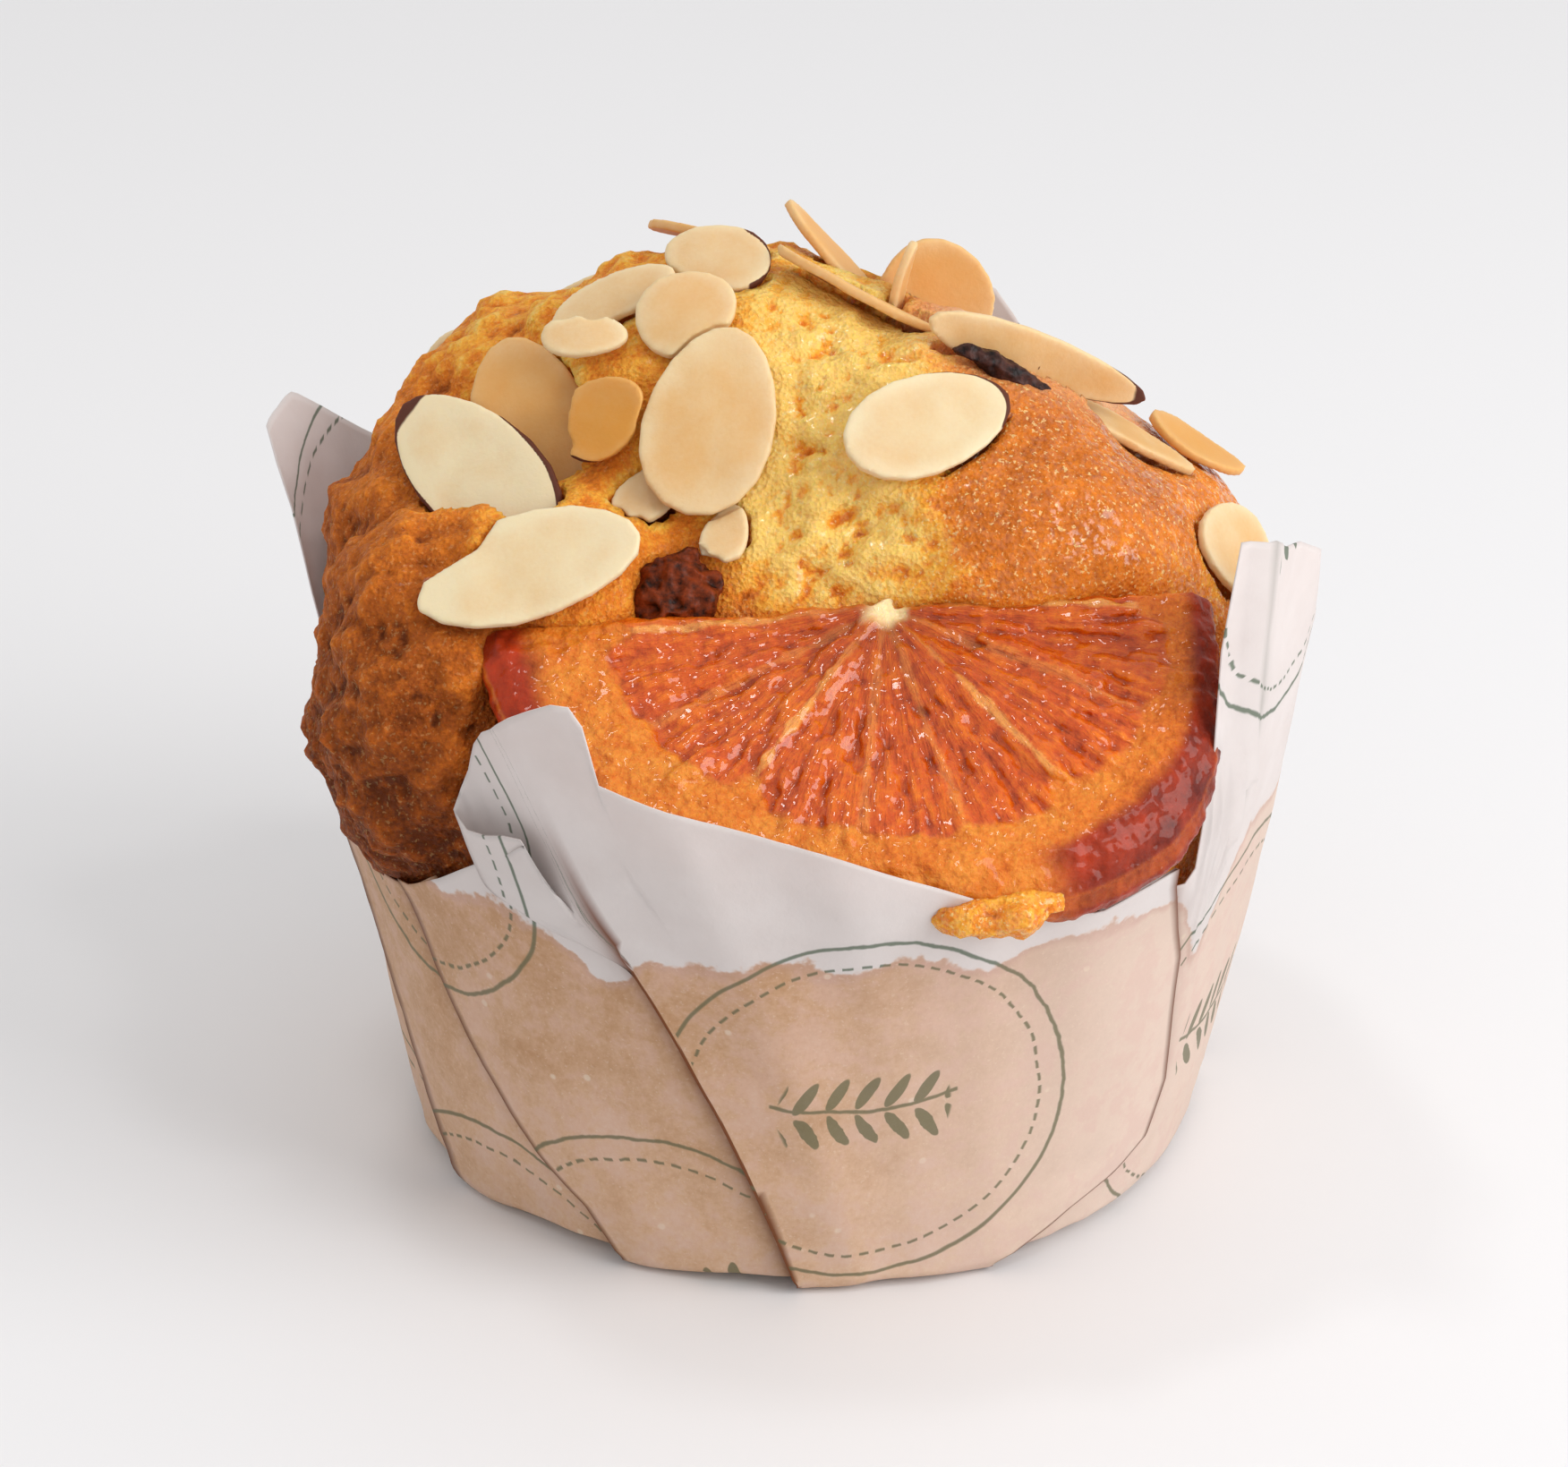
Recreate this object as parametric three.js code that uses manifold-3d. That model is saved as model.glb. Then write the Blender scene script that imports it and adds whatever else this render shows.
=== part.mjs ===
// An orange and almond muffin baked in a pleated paper case.
// Millimetres, +Z up. The origin is the middle of the flat base, and the orange slice faces -Y.

import * as THREE from "three";
import { mergeVertices } from "three/addons/utils/BufferGeometryUtils.js";
import Module from "manifold-3d";

const wasm = await Module();
wasm.setup();

// Driving dimensions
const baseRadius = 34.9; // outside of the paper case where it stands
const wallSlope = 0.165; // how far the case opens out for each millimetre of height
const paperThickness = 0.6; // greaseproof paper, doubled where it is folded
const clearance = 0.35; // gap between any two touching pieces
const flakeThickness = 1.3;
const sliceThickness = 4;
const sliceHalfWidth = 30.2;
const sliceDepth = 26.8;

// The batter's risen lobes: centre and radii of an ellipsoid each
const lobes = {
  frontDome: { centre: [1, 7, 46], radii: [36, 28, 26] },
  rearDome: { centre: [0, 14, 46], radii: [35, 25, 24] },
  crown: { centre: [-7, 8, 61], radii: [23.5, 19, 17.5] },
  crownShoulder: { centre: [8, 2, 58], radii: [20, 18, 17] },
  leftBulge: { centre: [-31, -12, 45], radii: [13, 15, 18] },
  leftSide: { centre: [-30, 3, 50], radii: [14, 16, 17] },
  leftRear: { centre: [-24, 13, 59], radii: [13, 14, 13.5] },
  leftFront: { centre: [-22, -12, 50], radii: [14, 13, 15] },
  rightGlazed: { centre: [15, -6, 51], radii: [19, 15, 18] },
  rightSide: { centre: [25, 4, 46], radii: [15.5, 20, 17.6] },
  frontLedge: { centre: [2, -15, 41], radii: [33, 20, 12] },
  batterDrip: { centre: [14.5, -39.3, 40.6], radii: [7.5, 4.8, 2.7] },
};
const lobeSegments = 18;
const lobeRings = 12;

// Where the paper's top edge runs, as [angle in degrees from +X, height]. Four corners of the square
// sheet stand up, at 74, 165, -118 and -25 degrees.
const paperTopEdge = [
  [-195, 65],
  [-184, 55],
  [-172, 40],
  [-160, 31],
  [-150, 31.5],
  [-132, 40],
  [-128, 45],
  [-123, 55],
  [-118, 58.5],
  [-114, 57],
  [-112, 52],
  [-82, 45.7],
  [-66, 39],
  [-45, 35.5],
  [-38, 45],
  [-31, 57],
  [-26, 63],
  [-21, 62],
  [-12, 53],
  [0, 46],
  [20, 42],
  [45, 41],
  [68, 63],
  [77, 65],
  [100, 47],
  [130, 42],
  [155, 58],
  [165, 65],
];

// Pleat lines: angle at the base, angle 40 mm up, and which neighbour lies on top
const pleats = [
  { base: -150, up: -172, onTop: "next" },
  { base: -118, up: -157, onTop: "next" },
  { base: -93, up: -116, onTop: "next" },
  { base: -46, up: -42, onTop: "previous" },
  { base: 8, up: 4, onTop: "previous" },
  { base: 40, up: 36, onTop: "previous" },
  { base: 66, up: 72, onTop: "next" },
  { base: 105, up: 100, onTop: "previous" },
  { base: 146, up: 142, onTop: "next" },
];
const pleatLift = 0.9;
const columnsPerPanel = 6;
const paperRows = 5;

// Corners that lean out, or in where lean is negative, by that much at leanHeight above the fill
const cornerLeans = [
  { at: 165, spread: 24, lean: 5 },
  { at: -25, spread: 16, lean: -2.4 },
  { at: -118, spread: 14, lean: -1.6 },
];
const fillHeight = 38;
const leanHeight = 26;

// Toppings. at is the middle of the outer face, facing [azimuth, elevation] is its normal, and spin turns
// the pointed end from level towards uphill, all in degrees. snap is a broken edge: a line in the
// flake's own plane, given by its outward direction in degrees and its distance from the middle.
const flakes = {
  almond_flake_01: { at: [-24.4, -19.6, 62], facing: [-95, 50], spin: 17, size: [20, 10.4], snap: [118, 3.9] },
  almond_flake_02: { at: [-29.2, -7.4, 65], facing: [-112, 48], spin: 149, size: [19.8, 10.4] },
  almond_flake_03: { at: [-24.6, -2.8, 67.4], facing: [-100, 38], spin: 113, size: [16, 10.6] },
  almond_flake_04: { at: [-9, -8.7, 70.2], facing: [-92, 40], spin: 77, size: [17, 11.2] },
  almond_flake_05: { at: [9.4, -10.3, 70.6], facing: [-75, 48], spin: 14, size: [15.5, 8.9] },
  almond_flake_06: { at: [-18.4, -7.2, 69.7], facing: [-115, 30], spin: 44, size: [8.6, 6.8], snap: [150, 2.9] },
  almond_flake_07: { at: [-11.1, -1.3, 77], facing: [-100, 50], spin: 37, size: [9, 8] },
  almond_flake_08: { at: [-17.6, 3, 76.4], facing: [-120, 60], spin: 51, size: [12, 5.8], snap: [-90, 2.3] },
  almond_flake_09: { at: [-8.6, 6.2, 79.1], facing: [-100, 55], spin: 172, size: [9.6, 6.8] },
  almond_flake_10: { at: [3.7, 4.4, 76.8], facing: [35, 55], spin: 45, size: [16, 6.5] },
  almond_flake_11: { at: [1.8, 13.4, 76.7], facing: [0, 44], spin: 78, size: [12.5, 5.5] },
  almond_flake_12: { at: [10.6, 12.4, 72.7], facing: [-75, 15], spin: 95, size: [10.6, 11] },
  almond_flake_13: { at: [7, 9, 75.5], facing: [165, 12], spin: 90, size: [8.5, 4.6] },
  almond_flake_14: { at: [19.1, 0, 71.9], facing: [-72, 5], spin: -26, size: [22, 7.4] },
  almond_flake_15: { at: [26.8, 2.4, 64.6], facing: [0, 60], spin: -90, size: [15, 5], snap: [180, 6] },
  almond_flake_16: { at: [33.9, 8, 61], facing: [0, 58], spin: -90, size: [10, 6] },
  almond_flake_17: { at: [36.9, -3.4, 55.6], facing: [-30, 30], spin: 140, size: [10.5, 9] },
  almond_flake_18: { at: [-9.2, 13.8, 78.4], facing: [58, 62], spin: 174, size: [13, 6] },
  almond_flake_19: { at: [-12, 26.4, 67], facing: [100, 34], spin: 25, size: [16, 9.5] },
  almond_flake_20: { at: [9, 32.5, 61.2], facing: [76, 42], spin: 118, size: [18, 10.2], snap: [0, 6.5] },
  almond_flake_21: { at: [-32.9, 23.7, 60.8], facing: [132, 24], spin: 60, size: [15, 9] },
  almond_flake_22: { at: [19.8, 19.3, 66.1], facing: [40, 60], spin: -20, size: [14, 8.6] },
  almond_chip_01: { at: [-14.2, -10.8, 64.5], facing: [-105, 52], spin: 52, size: [7.7, 4.6], snap: [200, 2.6] },
  almond_chip_02: { at: [-7.8, -14.7, 62.2], facing: [-95, 50], spin: 76, size: [6.3, 4], snap: [180, 2.2] },
  almond_chip_03: { at: [-19.8, -2, 75.2], facing: [-95, 50], spin: 3, size: [7.6, 4.1], snap: [90, 1.5] },
  almond_chip_04: { at: [-21.2, 21, 70.7], facing: [140, 50], spin: 10, size: [7, 5], snap: [180, 2.4] },
};
const flakeOutlinePoints = 18;
const flakeTaper = 0.14; // the pointed end is this much narrower than the middle, and the blunt end wider
const snapRoughness = 0.16;

const slicePose = { at: [2.4, -19, 57.2], facing: [-84, 60], spin: 0.5 };
const nutPiece = { at: [-12.1, -18.3, 58.9], facing: [-100, 45], spin: 16, size: [8, 7.4, 4] };
const fruitStrip = { at: [16, -3.1, 72.8], facing: [-30, 55], spin: -58, size: [9.8, 2.4, 1.8] };

const finishes = {
  crumb: new THREE.MeshStandardMaterial({ color: 0xcf8426, roughness: 0.55, metalness: 0 }),
  paper: new THREE.MeshStandardMaterial({ color: 0xd8b89c, roughness: 0.7, metalness: 0 }),
  orange: new THREE.MeshStandardMaterial({ color: 0xd9541a, roughness: 0.2, metalness: 0 }),
  almond: new THREE.MeshStandardMaterial({ color: 0xecd6a8, roughness: 0.5, metalness: 0 }),
  nut: new THREE.MeshStandardMaterial({ color: 0x5a220f, roughness: 0.5, metalness: 0 }),
  fruit: new THREE.MeshStandardMaterial({ color: 0x2d1a1e, roughness: 0.4, metalness: 0 }),
};

const radians = THREE.MathUtils.degToRad;

// A closed geometry as a manifold-3d solid
function solidOf(geometry) {
  const bare = geometry.clone();
  for (const attribute of ["normal", "uv"]) bare.deleteAttribute(attribute);
  const merged = mergeVertices(bare, 1e-4);
  return new wasm.Manifold(
    new wasm.Mesh({
      numProp: 3,
      vertProperties: merged.attributes.position.array,
      triVerts: new Uint32Array(merged.index.array),
    }),
  );
}

// A manifold-3d solid back as a geometry
function geometryOf(solid) {
  const { vertProperties, triVerts } = solid.getMesh();
  const geometry = new THREE.BufferGeometry();
  geometry.setAttribute("position", new THREE.BufferAttribute(vertProperties, 3));
  geometry.setIndex(new THREE.BufferAttribute(triVerts, 1));
  geometry.computeVertexNormals();
  return geometry;
}

// The matrix that lays a flat piece, drawn in its own XY plane, on a place that faces outwards
function layingMatrix({ at, facing, spin }) {
  const [azimuth, elevation] = facing.map(radians);
  const normal = new THREE.Vector3(
    Math.cos(elevation) * Math.cos(azimuth),
    Math.cos(elevation) * Math.sin(azimuth),
    Math.sin(elevation),
  );
  const level = new THREE.Vector3(0, 0, 1).cross(normal).normalize();
  const uphill = normal.clone().cross(level);
  return new THREE.Matrix4()
    .makeBasis(level, uphill, normal)
    .multiply(new THREE.Matrix4().makeRotationZ(radians(spin)))
    .setPosition(...at);
}

// An outline in the XY plane as a slab whose outer face is at Z 0, grown all over by grow
function slab(outline, thickness, grow) {
  const geometry = new THREE.ExtrudeGeometry(new THREE.Shape(outline), {
    depth: thickness + 2 * grow,
    bevelEnabled: false,
  });
  return geometry.translate(0, 0, -thickness - grow);
}

// A sliced almond: an oval with one pointed end, less what has snapped off
function flakeOutline({ size, snap }, grow) {
  const [length, width] = size.map((side) => side / 2 + grow);
  return Array.from({ length: flakeOutlinePoints }, (_, i) => {
    const turn = (2 * Math.PI * i) / flakeOutlinePoints;
    const point = new THREE.Vector2(
      length * Math.cos(turn),
      width * Math.sin(turn) * (1 - flakeTaper * Math.cos(turn)),
    );
    if (!snap) return point;
    const [direction, distance] = snap;
    const outward = new THREE.Vector2(Math.cos(radians(direction)), Math.sin(radians(direction)));
    const ragged = snapRoughness * width * Math.sin(2.7 * i);
    const excess = point.dot(outward) - (distance + grow + ragged);
    return excess > 0 ? point.addScaledVector(outward, -excess) : point;
  });
}

function flakeSolid(flake, grow = 0) {
  return solidOf(slab(flakeOutline(flake, grow), flakeThickness, grow).applyMatrix4(layingMatrix(flake)));
}

// Half a wheel of orange, cut through its core, with the peel fullest at the lower right
function sliceSolid(grow = 0) {
  const steps = 26;
  const outline = Array.from({ length: steps + 1 }, (_, i) => {
    const turn = Math.PI * (1 + i / steps);
    const fullness = 1 + 0.1 * Math.exp(-(((turn - 1.76 * Math.PI) / 0.48) ** 2));
    return new THREE.Vector2(
      (sliceHalfWidth + grow) * fullness * Math.cos(turn),
      (sliceDepth + grow) * fullness * Math.sin(turn),
    );
  });
  outline[0].y = outline[steps].y = grow;
  return solidOf(slab(outline, sliceThickness, grow).applyMatrix4(layingMatrix(slicePose)));
}

// A rough lump: a ball of few facets, stretched to size and knocked about by a sine in each direction
function lumpSolid({ at, facing, spin, size }, knock, grow = 0) {
  const ball = new THREE.SphereGeometry(1, 14, 9);
  const place = ball.attributes.position;
  const point = new THREE.Vector3();
  for (let i = 0; i < place.count; i++) {
    point.fromBufferAttribute(place, i);
    const dent = 1 + knock * Math.sin(5 * point.x + 2) * Math.cos(4 * point.y) * Math.sin(6 * point.z + 1);
    point.multiplyScalar(dent);
    place.setXYZ(i, ...point.toArray());
  }
  const half = size.map((side) => side / 2 + grow);
  ball.scale(...half).translate(0, 0, -size[2] / 4);
  return solidOf(ball.applyMatrix4(layingMatrix({ at, facing, spin })));
}

// Height of the paper's top edge at an angle, running straight between its stated points
function paperTop(angle) {
  const wrapped = ((((angle + 195) % 360) + 360) % 360) - 195;
  const next = paperTopEdge.findIndex(([at]) => at > wrapped);
  if (next < 1) return paperTopEdge[0][1];
  const [[fromAngle, fromHeight], [toAngle, toHeight]] = [paperTopEdge[next - 1], paperTopEdge[next]];
  return THREE.MathUtils.mapLinear(wrapped, fromAngle, toAngle, fromHeight, toHeight);
}

// Outside radius of the paper before its pleats
function paperRadius(angle, height) {
  const rise = Math.max(0, (height - fillHeight) / leanHeight);
  const lean = cornerLeans.reduce((sum, corner) => {
    const away = (((angle - corner.at + 540) % 360) - 180) / corner.spread;
    return sum + corner.lean * Math.exp(-away * away);
  }, 0);
  return baseRadius + wallSlope * height + lean * rise * rise;
}

// The columns of one trip round the case. At each pleat the paper steps out to the panel on top.
function paperColumns() {
  const lineAngle = ({ base, up }, height) => base + ((up - base) * height) / 40;
  return pleats.flatMap((pleat, i) => {
    const following = pleats[(i + 1) % pleats.length];
    const turn = i + 1 === pleats.length ? 360 : 0;
    return Array.from({ length: columnsPerPanel }, (_, column) => {
      const share = column / (columnsPerPanel - 1);
      const fromStart = pleat.onTop === "next" ? Math.exp(-5 * share) : 0;
      const fromEnd = following.onTop === "previous" ? Math.exp(-5 * (1 - share)) : 0;
      const inset = THREE.MathUtils.lerp(0.004, 0.996, share);
      return {
        lift: pleatLift * (fromStart + fromEnd),
        angleAt: (height) =>
          THREE.MathUtils.lerp(lineAngle(pleat, height), lineAngle(following, height) + turn, inset),
      };
    });
  });
}

// Climbs a column until it meets the top edge
function columnTop(column) {
  let height = 20;
  while (height < paperTop(column.angleAt(height)) && height < 70) height += 0.25;
  return height;
}

// The case as one closed shell: outside wall, rim, inside wall and a floor of the same paper
function paperSolid(grow = 0) {
  const columns = paperColumns();
  const positions = [];
  const wall = (floor, offset) =>
    Array.from({ length: paperRows + 1 }, (_, row) =>
      columns.map((column) => {
        const top = columnTop(column) + grow;
        const height = floor + ((top - floor) * row) / paperRows;
        const angle = column.angleAt(height);
        const radius = paperRadius(angle, height) + offset(column);
        positions.push(radius * Math.cos(radians(angle)), radius * Math.sin(radians(angle)), height);
        return positions.length / 3 - 1;
      }),
    );
  const outside = wall(-grow, (column) => column.lift + grow);
  const inside = wall(paperThickness + grow, () => -paperThickness - grow);
  const index = [];
  const band = (lower, upper) =>
    lower.forEach((corner, i) => {
      const j = (i + 1) % lower.length;
      index.push(corner, lower[j], upper[j], corner, upper[j], upper[i]);
    });
  for (let row = 0; row < paperRows; row++) {
    band(outside[row], outside[row + 1]);
    band(inside[row + 1], inside[row]);
  }
  band(outside[paperRows], inside[paperRows]);
  const fan = (rim, height, upwards) => {
    positions.push(0, 0, height);
    const hub = positions.length / 3 - 1;
    rim.forEach((corner, i) => {
      const next = rim[(i + 1) % rim.length];
      index.push(hub, ...(upwards ? [corner, next] : [next, corner]));
    });
  };
  fan(outside[0], -grow, false);
  fan(inside[0], paperThickness + grow, true);
  const geometry = new THREE.BufferGeometry();
  geometry.setAttribute("position", new THREE.Float32BufferAttribute(positions, 3));
  geometry.setIndex(index);
  return solidOf(geometry);
}

// The batter that filled the case, as a plug that follows the inside of the wall
function fillGeometry() {
  const gap = paperThickness + clearance;
  const bottom = paperThickness + clearance;
  const wallAt = (height) => new THREE.Vector2(baseRadius + wallSlope * height - gap, height);
  const profile = [new THREE.Vector2(0, bottom), wallAt(bottom), wallAt(fillHeight + 4)];
  profile.push(new THREE.Vector2(0, fillHeight + 4));
  return new THREE.LatheGeometry(profile, 48).rotateX(Math.PI / 2);
}

// The baked batter: plug and lobes in one, hollowed where the toppings and the paper press into it
function muffinSolid(pressedIn) {
  const grown = Object.values(lobes).map(({ centre, radii }) =>
    solidOf(
      new THREE.SphereGeometry(1, lobeSegments, lobeRings)
        .rotateX(Math.PI / 2)
        .scale(...radii)
        .translate(...centre),
    ),
  );
  const risen = grown.reduce((sum, lobe) => sum.add(lobe), solidOf(fillGeometry()));
  const pressed = pressedIn.reduce((left, piece) => left.subtract(piece), risen);
  return pressed.decompose().reduce((most, body) => (body.volume() > most.volume() ? body : most));
}

// What lies on top comes first, and each later piece gives way to it
const toppings = [
  { name: "orange_slice", finish: finishes.orange, make: sliceSolid },
  { name: "nut_piece", finish: finishes.nut, make: (grow) => lumpSolid(nutPiece, 0.22, grow) },
  ...Object.entries(flakes).map(([name, flake]) => ({
    name,
    finish: finishes.almond,
    make: (grow) => flakeSolid(flake, grow),
  })),
  { name: "dried_fruit_strip", finish: finishes.fruit, make: (grow) => lumpSolid(fruitStrip, 0.2, grow) },
];

const muffin = new THREE.Group();
const addPiece = (name, solid, finish) => {
  const mesh = new THREE.Mesh(geometryOf(solid), finish);
  mesh.name = name;
  muffin.add(mesh);
};

const taken = [paperSolid(clearance)];
for (const { name, finish, make } of toppings) {
  addPiece(
    name,
    taken.reduce((left, piece) => left.subtract(piece), make(0)),
    finish,
  );
  taken.push(make(clearance));
}
addPiece("paper_case", paperSolid(), finishes.paper);
addPiece("baked_muffin", muffinSolid(taken), finishes.crumb);

export default muffin;
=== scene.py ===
import math

import bmesh
import bpy
import numpy as np
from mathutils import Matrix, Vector, noise
from mathutils.bvhtree import BVHTree


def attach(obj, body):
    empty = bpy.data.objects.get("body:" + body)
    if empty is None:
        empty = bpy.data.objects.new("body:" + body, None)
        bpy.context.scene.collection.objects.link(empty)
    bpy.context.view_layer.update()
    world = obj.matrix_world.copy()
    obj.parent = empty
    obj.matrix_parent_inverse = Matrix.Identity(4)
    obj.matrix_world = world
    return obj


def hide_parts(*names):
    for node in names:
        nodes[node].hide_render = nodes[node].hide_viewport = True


# An orange and almond muffin in its paper case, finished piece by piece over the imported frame.
# Lengths in the dictionaries are millimetres; meshes are in metres.
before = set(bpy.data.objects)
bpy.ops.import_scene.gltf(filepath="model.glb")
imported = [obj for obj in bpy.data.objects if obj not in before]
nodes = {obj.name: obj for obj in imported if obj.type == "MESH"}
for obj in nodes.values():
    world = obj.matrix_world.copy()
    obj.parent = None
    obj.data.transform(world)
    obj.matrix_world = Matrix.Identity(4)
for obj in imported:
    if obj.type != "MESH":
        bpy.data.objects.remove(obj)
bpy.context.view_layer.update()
mm = 0.001
scene = bpy.context.scene


def report(stage):
    print("muffin:", stage)


# Small helpers for meshes


def blend(start, end, value):
    # 0 before start, 1 after end, with a soft turn between
    share = np.clip((value - start) / (end - start), 0, 1)
    return share * share * (3 - 2 * share)


def mergedCopy(*names):
    # one mesh from CAD nodes, with its loose triangles joined up
    work = bmesh.new()
    for name in names:
        work.from_mesh(nodes[name].data)
    bmesh.ops.remove_doubles(work, verts=work.verts, dist=0.00001)
    mesh = bpy.data.meshes.new(names[0])
    work.to_mesh(mesh)
    work.free()
    return mesh


def rayTree(*names):
    # for rays at CAD nodes and the nearest place on them
    mesh = mergedCopy(*names)
    corners = [tuple(face.vertices) for face in mesh.polygons]
    return BVHTree.FromPolygons([vertex.co.copy() for vertex in mesh.vertices], corners)


def addObject(name, data):
    made = bpy.data.objects.new(name, data)
    scene.collection.objects.link(made)
    return made


def modified(mesh, kind, settings, inputs=None):
    # the mesh as one modifier makes it; inputs are those of a geometry tree
    holder = addObject("holder", mesh)
    modifier = holder.modifiers.new("made", kind)
    for key, value in settings.items():
        setattr(modifier, key, value)
    for key, value in (inputs or {}).items():
        modifier[key] = value
    made = bpy.data.meshes.new_from_object(holder.evaluated_get(bpy.context.evaluated_depsgraph_get()))
    bpy.data.objects.remove(holder)
    return made


def evenMesh(mesh, voxel, rounds, strength=0.5):
    # one closed skin of small even faces, relaxed
    made = modified(mesh, "REMESH", {"mode": "VOXEL", "voxel_size": voxel * mm})
    movePlaces(made, relax(made, rounds, strength))
    return made


def meshOf(places, faces):
    mesh = bpy.data.meshes.new("surface")
    mesh.from_pydata(places.tolist(), [], faces)
    mesh.update()
    return mesh


def placesOf(mesh):
    flat = np.empty(len(mesh.vertices) * 3)
    mesh.vertices.foreach_get("co", flat)
    return flat.reshape(-1, 3)


def normalsOf(mesh):
    flat = np.empty(len(mesh.vertices) * 3)
    mesh.vertex_normals.foreach_get("vector", flat)
    return flat.reshape(-1, 3)


def movePlaces(mesh, places):
    mesh.vertices.foreach_set("co", places.ravel())
    mesh.update()


def relax(mesh, rounds, strength=0.5):
    # each vertex moves towards the middle of its neighbours
    places = placesOf(mesh)
    ends = np.empty(len(mesh.edges) * 2, dtype=np.int64)
    mesh.edges.foreach_get("vertices", ends)
    first, second = ends.reshape(-1, 2).T
    count = np.bincount(np.concatenate([first, second]), minlength=len(places))[:, None]
    for _ in range(rounds):
        total = np.zeros_like(places)
        for axis in range(3):
            total[:, axis] += np.bincount(first, places[second, axis], len(places))
            total[:, axis] += np.bincount(second, places[first, axis], len(places))
        places += strength * (total / count - places)
    return places


def keep(mesh, name, values):
    attribute = mesh.attributes.new(name, "FLOAT", "POINT")
    attribute.data.foreach_set("value", np.asarray(values, dtype=np.float32))


def sunkBelow(mesh, rounds):
    # millimetres by which each vertex lies under the smoothed surface
    return ((relax(mesh, rounds) - placesOf(mesh)) * normalsOf(mesh)).sum(axis=1) / mm


def sampled(places, size, seed, read):
    # reads a noise at each place, with features of that size in millimetres
    shift = Vector((seed * 3.17, seed * 1.73, seed * 2.39))
    scale = 1 / (size * mm)
    return np.array([read(Vector(p) * scale + shift) for p in places.tolist()])


def cloud(places, size, seed, octaves):
    # soft noise about 0
    return sampled(places, size, seed, lambda place: noise.fractal(place, 1.0, 2.0, octaves))


def knobs(places, size, seed):
    # rounded lumps: 1 on top of each and 0 in the creases between them
    near = sampled(places, size, seed, lambda place: noise.voronoi(place)[0][:2])
    return np.clip((near[:, 1] - near[:, 0]) * 1.4, 0, 1) ** 0.8


def newPiece(name, mesh, cadNodes, material):
    mesh.name = name
    mesh.materials.clear()
    mesh.materials.append(material)
    mesh.polygons.foreach_set("use_smooth", [True] * len(mesh.polygons))
    piece = addObject(name, mesh)
    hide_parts(*cadNodes)
    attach(piece, "root")


# Node trees, for shaders and for geometry


def addNode(tree, kind, sockets=None, settings=None):
    # the settings come first, since some of them change the sockets
    node = tree.nodes.new(kind)
    for key, value in (settings or {}).items():
        setattr(node, key, value)
    for key, value in (sockets or {}).items():
        if isinstance(value, Wire):
            value = value.socket
        if isinstance(value, bpy.types.NodeSocket):
            tree.links.new(value, node.inputs[key])
        else:
            node.inputs[key].default_value = value
    return node


def tint(red, green, blue):
    # a colour as a screen shows it, from 0 to 255, made linear
    parts = [part / 255 for part in (red, green, blue)]
    linear = [part / 12.92 if part <= 0.04045 else ((part + 0.055) / 1.055) ** 2.4 for part in parts]
    return (*linear, 1.0)


class Wire:
    # a shader value that can be written into sums
    def __init__(self, paint, socket):
        self.paint = paint
        self.socket = socket

    def __add__(self, other):
        return self.paint.maths("ADD", self, other)

    def __sub__(self, other):
        return self.paint.maths("SUBTRACT", self, other)

    def __rsub__(self, other):
        return self.paint.maths("SUBTRACT", other, self)

    def __mul__(self, other):
        return self.paint.maths("MULTIPLY", self, other)

    __radd__, __rmul__ = __add__, __mul__


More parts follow.
